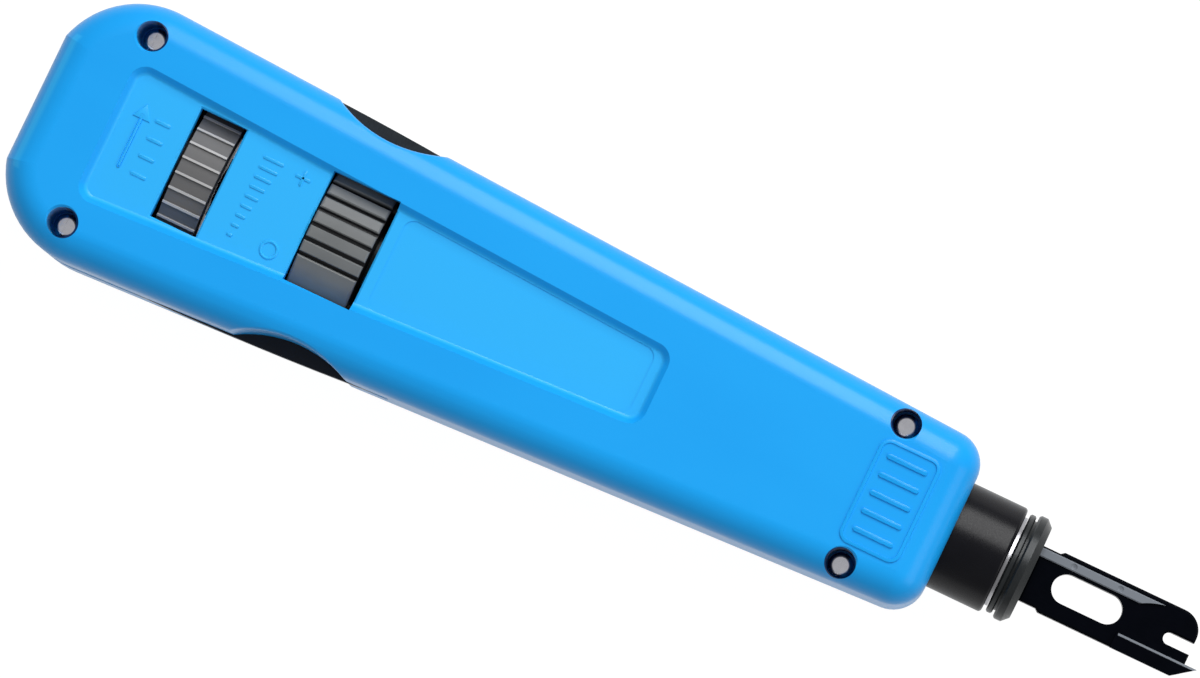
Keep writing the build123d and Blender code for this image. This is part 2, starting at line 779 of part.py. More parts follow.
def blade_shank():
    """Shank with its two lugs, and the round flange in front of the socket."""
    shank = along_x(shank_radius, flange_start - shank_length, flange_start)
    shank = chamfer(shank.edges().filter_by(GeomType.CIRCLE).group_by(Axis.X)[0], shank_edge)
    lug_start = flange_start - lug_from_flange
    shank += block(lug_start, lug_start + lug_length, -lug_radius, lug_radius, -lug_width / 2, lug_width / 2)
    rim_end = flange_start + rim_thickness
    shank += chamfer(along_x(rim_radius, flange_start, rim_end).edges().filter_by(GeomType.CIRCLE), rim_edge)
    shank += along_x(flange_groove_radius, rim_end, rim_end + flange_groove)
    flange = along_x(flange_radius, rim_end + flange_groove, flange_end)
    flange = chamfer(flange.edges().filter_by(GeomType.CIRCLE).sort_by(Axis.X)[-1], flange_chamfer)
    return shank + chamfer(flange.edges().filter_by(GeomType.CIRCLE).sort_by(Axis.X)[0], flange_rear_edge)


def blade_plan():
    """Outline of the forked blade, seen from above."""
    half = blade_half_width
    neck = neck_half_width
    start = blade_start
    points = [(flange_end, -neck), (start - blade_step, -neck), (start, -half), (blade_end, -half)]
    points += [(blade_end, half), (start, half), (start - blade_step, neck), (flange_end, neck)]
    plan = make_face(Polyline(*points, close=True))
    outer = plan.vertices().sort_by(Axis.X)[-2:].sort_by(Axis.Y)[-1]
    plan = fillet(outer, blade_corner_radius)
    slot_middle = start + slot_setback + slot_length / 2
    plan -= Pos(slot_middle, 0) * SlotOverall(slot_length, 2 * slot_half_width)
    notch = Pos(blade_end, wire_notch_offset) * SlotOverall(2 * wire_notch_depth, wire_notch_width)
    corner = (tip_x - cutter_slant, -cutter_outer)
    beyond_cutter = make_face(Polyline(corner, (tip_x, -cutter_inner), (tip_x, -cutter_outer), close=True))
    return plan - notch - beyond_cutter


def cutter_plan():
    """Outline of the cutting strip, seen from above."""
    start = blade_end - cutter_length
    points = [(start, -cutter_outer), (tip_x - cutter_slant, -cutter_outer), (tip_x, -cutter_inner)]
    points += [(start, -cutter_inner)]
    return make_face(Polyline(*points, close=True))


def cutter_level():
    """Height of the cutting strip's underside."""
    return blade_thickness / 2 + cutter_rise - cutter_thickness


def blade_body():
    """Forked blade that seats the wire, with a raised rail and a seat for the cutting strip."""
    body = extrude(blade_plan(), amount=blade_thickness / 2, both=True)
    body = chamfer(body.faces().sort_by(Axis.Z)[-1].outer_wire().edges(), blade_edge)
    rail_x = flange_end + rail_length
    rail_tip = rail_x + rail_scoop
    rail_points = [(flange_end, rail_inner), (rail_tip, rail_inner), (rail_tip, rail_outer)]
    rail_plan = make_face(Polyline(*rail_points, (flange_end, rail_outer), close=True))
    rail = extrude(rail_plan, amount=blade_thickness / 2 + rail_rise)
    rail = chamfer(rail.faces().sort_by(Axis.Z)[-1].edges().filter_by(Axis.X), rail_edge)
    scoop_middle = (rail_x + rail_scoop / 2, rail_inner + rail_hollow * (rail_outer - rail_inner))
    scoop_line = ThreePointArc((rail_x, rail_inner), scoop_middle, (rail_tip, rail_outer))
    scoop_sides = Polyline((rail_tip, rail_outer), (rail_tip, rail_inner), (rail_x, rail_inner))
    body += rail - extrude(make_face(scoop_line + scoop_sides), amount=housing_depth)
    dimple_level = blade_thickness / 2 + rail_rise + rail_dimple_radius - rail_dimple_depth
    for dimple_x in (flange_end + rail_dimple_first, flange_end + rail_dimple_first + rail_dimple_pitch):
        dimple = Sphere(rail_dimple_radius)
        body -= Pos(dimple_x, (rail_inner + rail_outer) / 2, dimple_level) * dimple
    return body - Pos(0, 0, cutter_level()) * extrude(offset(cutter_plan(), seat_fit), amount=housing_depth)


def cutter_blade():
    """Hardened strip beside the fork that trims the wire."""
    strip = Pos(0, 0, cutter_level()) * extrude(cutter_plan(), amount=cutter_thickness)
    top = strip.faces().sort_by(Axis.Z)[-1].edges().filter_by(Axis.X).sort_by(Axis.Y)
    return chamfer(top[-1], cutter_thickness / 3)


def pieces():
    """Every piece of the tool by name, in the tool's own frame."""
    shell = plain_shell()
    return {
        "upper_shell": upper_shell(shell),
        "lower_shell": lower_shell(shell),
        "housing_screws": housing_screws(),
        "arm_bushes": arm_bushes(),
        "spudger": spudger(),
        "wire_hook": wire_hook(),
        "storage_tube": storage_tube(),
        "storage_wheel": storage_wheel(),
        "storage_lock_plate": storage_lock_plate(),
        "storage_socket": storage_socket(),
        "thrust_washer": thrust_washer(),
        "knob_click_spring": knob_click_spring(),
        "impact_knob": impact_knob(),
        "adjuster_nut": adjuster_nut(),
        "spring_seat": spring_seat(),
        "barrel": barrel(),
        "main_spring": main_spring(),
        "hammer": hammer(),
        "sear": sear(),
        "sear_spring": sear_spring(),
        "return_spring": return_spring(),
        "striker_rod": striker_rod(),
        "blade_socket": blade_socket(),
        "catch_ball": catch_ball(),
        "catch_ring": catch_ring(),
        "plunger_head": plunger_head(),
        "nose_bush": nose_bush(),
        "blade_shank": blade_shank(),
        "blade_body": blade_body(),
        "cutter_blade": cutter_blade(),
    }


os.makedirs("parts", exist_ok=True)
to_origin = Pos(-overall_length / 2, 0, half_depth)
for name, shape in pieces().items():
    export_step(to_origin * shape, f"parts/{name}.step")
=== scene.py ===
import bpy
import json
import math
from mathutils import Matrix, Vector


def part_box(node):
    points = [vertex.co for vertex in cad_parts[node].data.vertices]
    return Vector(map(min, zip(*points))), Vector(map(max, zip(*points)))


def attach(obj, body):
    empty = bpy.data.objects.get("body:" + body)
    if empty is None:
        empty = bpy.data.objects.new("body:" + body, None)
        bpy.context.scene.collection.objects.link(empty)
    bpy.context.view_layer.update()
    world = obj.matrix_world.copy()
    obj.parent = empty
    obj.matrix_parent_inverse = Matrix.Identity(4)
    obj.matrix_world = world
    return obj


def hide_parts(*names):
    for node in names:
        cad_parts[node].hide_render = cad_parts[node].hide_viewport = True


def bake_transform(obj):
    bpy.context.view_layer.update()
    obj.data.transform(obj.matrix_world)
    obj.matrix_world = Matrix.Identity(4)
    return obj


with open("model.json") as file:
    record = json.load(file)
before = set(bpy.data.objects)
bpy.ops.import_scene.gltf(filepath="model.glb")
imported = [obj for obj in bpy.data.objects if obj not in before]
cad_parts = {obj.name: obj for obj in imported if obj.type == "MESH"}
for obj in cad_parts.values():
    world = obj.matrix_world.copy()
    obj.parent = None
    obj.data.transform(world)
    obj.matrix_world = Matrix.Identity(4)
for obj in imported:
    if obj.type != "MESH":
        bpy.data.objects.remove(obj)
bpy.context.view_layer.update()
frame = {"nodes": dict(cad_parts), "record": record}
nodes = frame["nodes"]
bpy.ops.object.select_all(action="DESELECT")
print("frame loaded:", len(nodes), "nodes")

mm = 0.001
lowerCorner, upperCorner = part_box("upper_shell")
rearEnd = lowerCorner[0]        # the tool's rear end
faceLevel = upperCorner[2]      # the face with the windows
axisHeight = faceLevel / 2      # the tool's axis above the floor
panelLevel = faceLevel - 1.0 * mm    # the floor of the recessed panel
smoothAngle = math.radians(35)

cameraSetup = {
    "location": (0.049428, -0.048264, 0.985535),
    "rotation": (0.072136, 0.027369, 0.445955),
    "lens": 212.95,
    "sensor": 36.0,
    "clipStart": 0.01,
}


def addCamera(setup):
    bpy.ops.object.camera_add(location=setup["location"], rotation=setup["rotation"])
    camera = bpy.context.object
    camera.data.lens = setup["lens"]
    camera.data.sensor_width = setup["sensor"]
    camera.data.clip_start = setup["clipStart"]
    bpy.context.scene.camera = camera


addCamera(cameraSetup)
print("camera placed")


def newMaterial(name):
    material = bpy.data.materials.new(name)
    material.use_nodes = True
    return material, material.node_tree, material.node_tree.nodes["Principled BSDF"]


def addNode(tree, kind, values=None, **settings):
    node = tree.nodes.new(kind)
    for key, value in settings.items():
        setattr(node, key, value)
    for socket, value in (values or {}).items():
        node.inputs[socket].default_value = value
    return node


def objectPlace(tree, scale=(1, 1, 1)):
    # a point of the surface in metres, stretched by scale
    place = addNode(tree, "ShaderNodeTexCoord")
    mapping = addNode(tree, "ShaderNodeMapping", {"Scale": scale})
    tree.links.new(place.outputs["Object"], mapping.inputs["Vector"])
    return mapping.outputs["Vector"]


def noise(tree, place, scale, detail=3.0, rough=0.5):
    node = addNode(tree, "ShaderNodeTexNoise",
                   {"Scale": scale, "Detail": detail, "Roughness": rough})
    tree.links.new(place, node.inputs["Vector"])
    return node.outputs["Fac"]


def spread(tree, value, low, high, fromLow=0.3, fromHigh=0.7):
    # value from the first range taken to low..high
    node = addNode(tree, "ShaderNodeMapRange", {"From Min": fromLow, "From Max": fromHigh,
                                                "To Min": low, "To Max": high})
    tree.links.new(value, node.inputs["Value"])
    return node.outputs["Result"]


def mixColours(tree, share, first, second):
    node = addNode(tree, "ShaderNodeMix", data_type="RGBA")
    for index, value in ((0, share), (6, first), (7, second)):
        socket = node.inputs[index]
        if isinstance(value, bpy.types.NodeSocket):
            tree.links.new(value, socket)
        else:
            socket.default_value = value
    return node.outputs[2]


def bump(tree, heights, shader):
    # each height: (socket, strength, distance in metres)
    normal = None
    for height, strength, distance in heights:
        node = addNode(tree, "ShaderNodeBump", {"Strength": strength, "Distance": distance})
        tree.links.new(height, node.inputs["Height"])
        if normal:
            tree.links.new(normal, node.inputs["Normal"])
        normal = node.outputs["Normal"]
    tree.links.new(normal, shader.inputs["Normal"])


def product(tree, first, second):
    node = addNode(tree, "ShaderNodeMath", operation="MULTIPLY")
    tree.links.new(first, node.inputs[0])
    tree.links.new(second, node.inputs[1])
    return node.outputs[0]


def axisDistance(tree):
    # distance of a point from the tool's axis, in metres
    place = addNode(tree, "ShaderNodeTexCoord")
    offset = addNode(tree, "ShaderNodeVectorMath", {1: (0, 0, axisHeight)}, operation="SUBTRACT")
    across = addNode(tree, "ShaderNodeVectorMath", {1: (0, 1, 1)}, operation="MULTIPLY")
    length = addNode(tree, "ShaderNodeVectorMath", operation="LENGTH")
    tree.links.new(place.outputs["Object"], offset.inputs[0])
    tree.links.new(offset.outputs["Vector"], across.inputs[0])
    tree.links.new(across.outputs["Vector"], length.inputs[0])
    return length.outputs["Value"]


def insideBox(tree, low, high, soft):
    # 1 inside the box from low to high, 0 outside, with a soft border
    place = addNode(tree, "ShaderNodeTexCoord")
    parts = addNode(tree, "ShaderNodeSeparateXYZ")
    tree.links.new(place.outputs["Object"], parts.inputs["Vector"])
    share = None
    for index in range(3):
        for border, inward in ((low[index], soft), (high[index], -soft)):
            edge = spread(tree, parts.outputs[index], 0, 1, border - inward, border + inward)
            share = product(tree, share, edge) if share else edge
    return share


def insideHole(tree, centre, hole):
    # 1 on the wall of an upright hole above centre, 0 elsewhere
    place = addNode(tree, "ShaderNodeTexCoord")
    shift = addNode(tree, "ShaderNodeVectorMath", {1: centre}, operation="SUBTRACT")
    flat = addNode(tree, "ShaderNodeVectorMath", {1: (1, 1, 0)}, operation="MULTIPLY")
    length = addNode(tree, "ShaderNodeVectorMath", operation="LENGTH")
    parts = addNode(tree, "ShaderNodeSeparateXYZ")
    tree.links.new(place.outputs["Object"], shift.inputs[0])
    tree.links.new(shift.outputs["Vector"], flat.inputs[0])
    tree.links.new(flat.outputs["Vector"], length.inputs[0])
    tree.links.new(shift.outputs["Vector"], parts.inputs["Vector"])
    radius = hole["radius"] * mm
    within = spread(tree, length.outputs["Value"], 1, 0, radius, radius + hole["soft"] * mm)
    above = spread(tree, parts.outputs["Z"], 0, 1, 0, hole["softBelow"] * mm)
    return product(tree, within, above)


# shared by all moulded plastics; depths in metres
plasticRelief = {"grainDepth": 0.00002, "flowStrength": 0.10, "flowDepth": 0.00004,
                 "cloudDetail": 2.0, "grainDetail": 3.0, "grainRough": 0.6,
                 "flowDetail": 2.0, "flowStretch": (0.25, 1, 1),
                 "coatRoughness": 0.15, "coatIndex": 1.3}


def mouldedPlastic(name, look):
    material, tree, shader = newMaterial(name)
    place = objectPlace(tree)
    relief = plasticRelief
    cloudy = noise(tree, place, look["cloudScale"], relief["cloudDetail"])
    grain = noise(tree, place, look["grainScale"], relief["grainDetail"], relief["grainRough"])
    flow = noise(tree, objectPlace(tree, relief["flowStretch"]), look["flowScale"],
                 relief["flowDetail"])
    base = mixColours(tree, spread(tree, cloudy, 0, 1), look["colour"], look["colourFar"])
    base = mixColours(tree, spread(tree, flow, 0, look["flowShare"]), base, look["colourFlow"])
    for inner, outer, shade in look.get("rings", []):
        # painted shade on all that lies within a radius round the tool's axis: the knob's groove
        # bottoms and the wheel between its ridges
        share = spread(tree, axisDistance(tree), 1, 0, inner * mm, outer * mm)
        base = mixColours(tree, share, base, shade)
    for low, high, soft, shade in look.get("tints", []):
        base = mixColours(tree, insideBox(tree, low, high, soft * mm), base, shade)
    # painted shade on the walls of the deep screw holes
    for centre in look.get("holes", []):
        base = mixColours(tree, insideHole(tree, centre, look["hole"]), base, look["hole"]["shade"])
    tree.links.new(base, shader.inputs["Base Color"])
    tree.links.new(spread(tree, grain, *look["roughness"]), shader.inputs["Roughness"])
    shader.inputs["Specular IOR Level"].default_value = look["specular"]
    shader.inputs["Coat Weight"].default_value = look.get("coat", 0.0)
    shader.inputs["Coat Roughness"].default_value = relief["coatRoughness"]
    shader.inputs["Coat IOR"].default_value = relief["coatIndex"]
    bump(tree, [(grain, look["grainStrength"], relief["grainDepth"]),
                (flow, relief["flowStrength"], relief["flowDepth"])], shader)
    return material


def colour(red, green, blue):
    return (red, green, blue, 1)


shellLook = {
    # millimetres: the recessed panel painted paler, the seam of the shells, and the places of the
    # screw holes painted with shade
    "panel": {"length": 94, "halfWidth": 10, "depths": (1.4, 0.7), "soft": 0.15,
              "shade": colour(0.025, 0.455, 0.97)},
    "seam": {"halfHeight": 0.09, "soft": 0.04, "shade": colour(0.003, 0.14, 0.40)},
    "rearHoles": {"inset": 2.0, "side": 14.1},
    "frontHoles": {"inset": 1.9, "side": 10.45},
    "holeDepth": 1.0,
}


def panelPaintedLight(look):
    # the floor of the recessed panel is painted a little paler than the face round it, painted
    # light for the brighter light along the middle of the face
    deep, shallow = look["depths"]
    low = (rearEnd, -look["halfWidth"] * mm, faceLevel - deep * mm)
    high = (rearEnd + look["length"] * mm, look["halfWidth"] * mm, faceLevel - shallow * mm)
    return low, high, look["soft"], look["shade"]


def seamTint(look):
    # the fine line where the two shells meet
    half = look["halfHeight"] * mm
    low = (lowerCorner[0], -upperCorner[1], axisHeight - half)
    high = (upperCorner[0], upperCorner[1], axisHeight + half)
    return low, high, look["soft"], look["shade"]


def holeCentres(look):
    # the walls of the deep screw holes get painted shade
    low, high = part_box("housing_screws")
    rear, front = look["rearHoles"], look["frontHoles"]
    places = ((low[0] + rear["inset"] * mm, rear["side"] * mm),
              (high[0] - front["inset"] * mm, front["side"] * mm))
    level = high[2] - look["holeDepth"] * mm
    return [(x, side * y, level) for x, y in places for side in (1, -1)]


plasticLooks = {
    "blue_plastic": {
        "colour": colour(0.006, 0.375, 0.92), "colourFar": colour(0.005, 0.360, 0.90),
        "colourFlow": colour(0.008, 0.390, 0.94), "flowShare": 0.5,
        # painted light on the panel floor, and the dark seam line
        "tints": [panelPaintedLight(shellLook["panel"]), seamTint(shellLook["seam"])],
        # painted shade on the walls of the screw holes
        "holes": holeCentres(shellLook),
        "hole": {"radius": 2.1, "soft": 0.05, "softBelow": 0.1,
                 "shade": colour(0.004, 0.030, 0.12)},
        "cloudScale": 45, "grainScale": 5200, "flowScale": 160, "coat": 0.25,
        "roughness": (0.31, 0.40), "specular": 0.20, "grainStrength": 0.10,
    },
    "grey_plastic": {
        "colour": colour(0.165, 0.175, 0.18), "colourFar": colour(0.14, 0.15, 0.155),
        "colourFlow": colour(0.19, 0.20, 0.205), "flowShare": 0.5,
        # painted shade in the knob's groove bottoms
        "rings": [(12.2, 12.6, colour(0.012, 0.013, 0.016))],
        "cloudScale": 220, "grainScale": 5200, "flowScale": 500,
        "roughness": (0.34, 0.46), "specular": 0.3, "grainStrength": 0.12,
    },
    "grey_plastic_light": {
        "colour": colour(0.46, 0.46, 0.465), "colourFar": colour(0.42, 0.42, 0.425),
        "colourFlow": colour(0.50, 0.50, 0.505), "flowShare": 0.5,
        # painted shade on the wheel between its ridges
        "rings": [(12.1, 12.25, colour(0.13, 0.13, 0.133))],
        "cloudScale": 220, "grainScale": 5200, "flowScale": 500,
        "roughness": (0.38, 0.50), "specular": 0.3, "grainStrength": 0.12,
    },
    "black_plastic": {
        "colour": colour(0.010, 0.011, 0.016), "colourFar": colour(0.013, 0.014, 0.019),
        "colourFlow": colour(0.016, 0.017, 0.022), "flowShare": 0.5,
        "cloudScale": 150, "grainScale": 5200, "flowScale": 400,
        "roughness": (0.38, 0.50), "specular": 0.2, "grainStrength": 0.12,
    },
    "dark_plastic": {
        "colour": colour(0.012, 0.012, 0.014), "colourFar": colour(0.010, 0.010, 0.012),
        "colourFlow": colour(0.016, 0.016, 0.018), "flowShare": 0.5,
        "cloudScale": 150, "grainScale": 5200, "flowScale": 400,
        "roughness": (0.45, 0.58), "specular": 0.2, "grainStrength": 0.15,
    },
    "black_sleeve": {
        "colour": colour(0.002, 0.002, 0.004), "colourFar": colour(0.003, 0.003, 0.005),
        "colourFlow": colour(0.005, 0.005, 0.007), "flowShare": 0.5,
        "cloudScale": 300, "grainScale": 4200, "flowScale": 700,
        "roughness": (0.25, 0.34), "specular": 0.18, "grainStrength": 0.16,
    },
}


# shared by all metals; the depth of the turned rings is in metres
metalRelief = {"lineDepth": 0.00001, "lineDetail": 4.0, "lineRough": 0.7, "lineShare": 0.35,
               "cloudDetail": 3.0}


def turnedMetal(name, look):
    # fine rings round the tool's axis, with a few brighter scratches
    material, tree, shader = newMaterial(name)
    relief = metalRelief
    rings = noise(tree, objectPlace(tree, look["stretch"]), look["lineScale"],
                  relief["lineDetail"], relief["lineRough"])
    cloudy = noise(tree, objectPlace(tree), look["cloudScale"], relief["cloudDetail"])
    base = mixColours(tree, spread(tree, cloudy, 0, 1), look["colour"], look["colourFar"])
    base = mixColours(tree, spread(tree, rings, 0, relief["lineShare"]), base, look["colourLine"])
    for low, high in look.get("greyPatches", []):
        # painted light grey here: a painted highlight on the cutter's inner edge, whose slope faces
        # the light, and a plain lighter grey on the rail top
        share = insideBox(tree, low, high, look["greyPatchSoft"] * mm)
        base = mixColours(tree, share, base, look["colourGreyPatch"])
    tree.links.new(base, shader.inputs["Base Color"])
    tree.links.new(spread(tree, rings, *look["roughness"]), shader.inputs["Roughness"])
    shader.inputs["Metallic"].default_value = look["metallic"]
    shader.inputs["Specular IOR Level"].default_value = look["specular"]
    bump(tree, [(rings, look["lineStrength"], relief["lineDepth"])], shader)
    return material


bladeGreyPatches = {
    # millimetres: where the blade is painted light grey
    "rail": {"ends": (-1.0, 21), "sides": (2.45, 4.0), "levels": (1.31, 2)},
    "cutter": {"rearGap": 0.3, "sides": (-2.62, -2.30), "levels": (-0.4, 0.1)},
}


def railTop(look):
    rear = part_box("blade_body")[0][0]
    corners = zip(look["ends"], look["sides"], look["levels"])
    return tuple((rear + x * mm, y * mm, axisHeight + z * mm) for x, y, z in corners)


def cutterEdge(look):
    low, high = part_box("cutter_blade")
    ends = (low[0] + look["rearGap"] * mm, high[0])
    corners = zip(ends, look["sides"], look["levels"])
    return tuple((x, y * mm, high[2] + z * mm) for x, y, z in corners)


metalLooks = {
    "zinc_steel": {
        "colour": colour(0.86, 0.86, 0.93), "colourFar": colour(0.76, 0.77, 0.85),
        "colourLine": colour(0.94, 0.94, 0.98), "metallic": 1.0, "specular": 0.5,
        "stretch": (1, 1, 1), "lineScale": 2500, "cloudScale": 700,
        "roughness": (0.10, 0.20), "lineStrength": 0.05,
    },
    "bright_steel": {
        "colour": colour(0.40, 0.40, 0.42), "colourFar": colour(0.34, 0.34, 0.36),
        "colourLine": colour(0.50, 0.50, 0.52), "metallic": 1.0, "specular": 0.5,
        "stretch": (12, 1, 1), "lineScale": 900, "cloudScale": 400,
        "roughness": (0.26, 0.38), "lineStrength": 0.25,
    },
    "hardened_steel": {
        "colour": colour(0.36, 0.36, 0.38), "colourFar": colour(0.30, 0.30, 0.33),
        "colourLine": colour(0.45, 0.45, 0.47), "metallic": 1.0, "specular": 0.5,
        "stretch": (10, 1, 1), "lineScale": 900, "cloudScale": 300,
        "roughness": (0.25, 0.40), "lineStrength": 0.25,
    },
    "spring_steel": {
        "colour": colour(0.42, 0.42, 0.44), "colourFar": colour(0.34, 0.34, 0.37),
        "colourLine": colour(0.55, 0.55, 0.57), "metallic": 1.0, "specular": 0.5,
        "stretch": (1, 1, 1), "lineScale": 1800, "cloudScale": 500,
        "roughness": (0.22, 0.36), "lineStrength": 0.12,
    },
    "black_steel": {
        "colour": colour(0.018, 0.021, 0.022), "colourFar": colour(0.012, 0.014, 0.016),
        "colourLine": colour(0.040, 0.044, 0.046), "metallic": 0.3, "specular": 0.3,
        "stretch": (8, 1, 1), "lineScale": 1100, "cloudScale": 500,
        "roughness": (0.26, 0.40), "lineStrength": 0.25,
    },
    "blade_steel": {
        "colour": colour(0.001, 0.0015, 0.003), "colourFar": colour(0.0015, 0.002, 0.004),
        "colourLine": colour(0.003, 0.0035, 0.006), "metallic": 0.0, "specular": 0.02,
        # light grey painted on the rail top, and as a painted highlight on the cutter's inner edge
        "colourGreyPatch": colour(0.20, 0.22, 0.25), "greyPatchSoft": 0.04,
        "greyPatches": [railTop(bladeGreyPatches["rail"]), cutterEdge(bladeGreyPatches["cutter"])],
        "stretch": (1, 9, 1), "lineScale": 900, "cloudScale": 400,
        "roughness": (0.16, 0.27), "lineStrength": 0.12,
    },
}

finishes = {}
for slotName, look in plasticLooks.items():
    finishes[slotName] = mouldedPlastic("finish_" + slotName, look)
for slotName, look in metalLooks.items():
    finishes[slotName] = turnedMetal("finish_" + slotName, look)

for part in frame["record"]["subparts"]:
    for materialSlot in nodes[part["node"]].material_slots:
        materialSlot.material = finishes[part["material_slot"]]
print("finishes given to the nodes:", len(finishes))


# shared by all raised marks: how far they sink into the shell, the edge of their tops in metres,
# the steps of their round corners, and their end round as a share of the width
markShape = {"sink": 0.05 * mm, "topEdge": 0.09 * mm, "topSteps": 2,
             "roundSteps": 6, "endRound": 0.499, "topSlope": 0.9}


def deselectAll(piece):
    for parts in (piece.data.vertices, piece.data.edges, piece.data.polygons):
        for part in parts:
            part.select = False


def editFaces(piece, test):
    # opens the piece for editing with the faces that pass the test selected
    deselectAll(piece)
    for face in piece.data.polygons:
        face.select = test(face)
    bpy.ops.object.mode_set(mode="EDIT")
    bpy.ops.mesh.select_mode(type="FACE")


def editEdges(piece, test):
    deselectAll(piece)
    points = piece.data.vertices
    for edge in piece.data.edges:
        first, second = (points[index].co for index in edge.vertices)
        edge.select = test(first, second)
    bpy.ops.object.mode_set(mode="EDIT")
    bpy.ops.mesh.select_mode(type="EDGE")


def settle(piece, place, turn=0.0):
    # puts a finished piece in its place, with the place kept in its mesh
    bpy.ops.object.select_all(action="DESELECT")
    piece.select_set(True)
    bpy.context.view_layer.objects.active = piece
    piece.location = place
    piece.rotation_euler = (0, 0, turn)
    bpy.ops.object.transform_apply(location=True, rotation=True, scale=True)
    return piece


def softenTop(piece):
    editFaces(piece, lambda face: face.normal.z > markShape["topSlope"])
    bpy.ops.mesh.region_to_loop()
    bpy.ops.mesh.bevel(offset=markShape["topEdge"], segments=markShape["topSteps"])
    bpy.ops.object.mode_set(mode="OBJECT")


def roundedBlock(name, length, width, height, corner):
    # block on its own origin with round upright corners and a softened top
    bpy.ops.mesh.primitive_cube_add(size=1, location=(0, 0, height / 2))
    block = bpy.context.object
    block.name = name
    block.scale = (length, width, height)
    bpy.ops.object.transform_apply(location=True, rotation=False, scale=True)
    editEdges(block, lambda first, second: abs(first.z - second.z) > height / 2)
    bpy.ops.mesh.bevel(offset=corner, segments=markShape["roundSteps"])
    bpy.ops.object.mode_set(mode="OBJECT")
    softenTop(block)
    return block


def bar(name, size):
    length, width, height = size
    return roundedBlock(name, length * mm, width * mm, height * mm + markShape["sink"],
                        width * markShape["endRound"] * mm)


def copyPiece(piece):
    twin = piece.copy()
    twin.data = piece.data.copy()
    bpy.context.collection.objects.link(twin)
    return twin


def markPlace(x, y, level):
    return (rearEnd + x * mm, y * mm, level - markShape["sink"])


def rowOffset(look, index):
    # place across the tool of one mark of a row that is centred on the axis
    return (index - (look["count"] - 1) / 2) * look["pitch"]


def barRow(name, look, x, level):
    first = bar(name, look["bar"])
    pieces = []
    for index in range(look["count"]):
        twin = copyPiece(first) if index < look["count"] - 1 else first
        pieces.append(settle(twin, markPlace(x, rowOffset(look, index), level)))
    return pieces


def joinMarks(name, pieces):
    bpy.ops.object.select_all(action="DESELECT")
    for piece in pieces:
        piece.select_set(True)
    bpy.context.view_layer.objects.active = pieces[0]
    bpy.ops.object.join()
    marks = bpy.context.object
    marks.name = name
    marks.data.name = name
    bpy.ops.object.shade_smooth_by_angle(angle=smoothAngle)
    marks.data.materials.clear()
    marks.data.materials.append(finishes["blue_plastic"])
    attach(marks, "housing")
    return marks


rearMarkSetup = {"x": 16.2, "apart": 3.0, "arrowLength": 8.0, "headSize": 1.5,
                 "bar": (2.4, 0.50, 0.16), "pitch": 2.6, "count": 4}


def addRearMarks(look):
    # turn arrow and four short bars beside the small window
    shaftWidth, height = look["bar"][1:]
    arrowX = look["x"] - look["apart"] / 2
    shaft = bar("shaft", (look["arrowLength"], shaftWidth, height))
    pieces = [settle(shaft, markPlace(arrowX, 0, panelLevel), math.pi / 2)]
    thickness = height * mm + markShape["sink"]
    bpy.ops.mesh.primitive_cylinder_add(vertices=3, radius=look["headSize"] * mm, depth=thickness)
    head = bpy.context.object
    head.location.z = thickness / 2
    bpy.ops.object.transform_apply(location=True, rotation=False, scale=False)
    softenTop(head)
    pieces.append(settle(head, markPlace(arrowX, look["arrowLength"] / 2, panelLevel)))
    pieces += barRow("short_bar", look, look["x"] + look["apart"] / 2, panelLevel)
    return joinMarks("rear_marks", pieces)


rearMarks = addRearMarks(rearMarkSetup)

scaleSetup = {"x": 33.2, "back": 1.2, "count": 9, "pitch": 1.45, "shortest": 0.9, "step": 0.28,
              "bar": (0.46, 0.16)}
signSetup = {"x": 38.2, "y": 5.4, "ring": 1.15, "ringLine": 0.24, "ringCut": 0.1,
             "bar": (2.3, 0.46, 0.16)}


def addScaleMarks(look, signs):
    # rising scale with a ring at its low end and a cross at its high end
    pieces = []
    width, height = look["bar"]
    for index in range(look["count"]):
        length = look["shortest"] + index * look["step"]
        x = look["x"] + length / 2 - look["back"]
        rib = bar("scale_rib", (length, width, height))
        pieces.append(settle(rib, markPlace(x, rowOffset(look, index), panelLevel)))
    bpy.ops.mesh.primitive_torus_add(major_radius=signs["ring"] * mm,
                                     minor_radius=signs["ringLine"] * mm,
                                     major_segments=32, minor_segments=10)
    ring = bpy.context.object
    editFaces(ring, lambda face: face.center.z < -signs["ringCut"] * mm)
    bpy.ops.mesh.delete(type="FACE")
    bpy.ops.object.mode_set(mode="OBJECT")
    pieces.append(settle(ring, markPlace(signs["x"], -signs["y"], panelLevel)))
    first = bar("cross_bar", signs["bar"])
    second = copyPiece(first)
    place = markPlace(signs["x"], signs["y"], panelLevel)
    pieces.append(settle(first, place))
    pieces.append(settle(second, place, math.pi / 2))
    return joinMarks("scale_marks", pieces)


scaleMarks = addScaleMarks(scaleSetup, signSetup)

noseSetup = {"x": 129.0, "size": (9.0, 15.4), "corner": 1.6, "line": 0.40, "wall": 0.06,
             "height": 0.22, "floor": 0.03, "bar": (6.0, 0.75, 0.30), "pitch": 2.7, "count": 5,
             "flat": 0.999}


def addNoseFrame(look):
    # framed pad with plain ribs between the front screws
    length, width = look["size"]
    height = look["height"] * mm + markShape["sink"]
    pad = roundedBlock("nose_frame", length * mm, width * mm, height, look["corner"] * mm)
    editFaces(pad, lambda face: face.normal.z > look["flat"])
    bpy.ops.mesh.inset(thickness=look["line"] * mm)
    bpy.ops.mesh.inset(thickness=look["wall"] * mm, depth=-(look["height"] - look["floor"]) * mm)
    bpy.ops.object.mode_set(mode="OBJECT")
    pieces = [settle(pad, markPlace(look["x"], 0, faceLevel))]
    pieces += barRow("nose_rib", look, look["x"], faceLevel)
    return joinMarks("nose_marks", pieces)


noseMarks = addNoseFrame(noseSetup)
markPieces = [rearMarks, scaleMarks, noseMarks]
print("raised marks made:", len(markPieces))


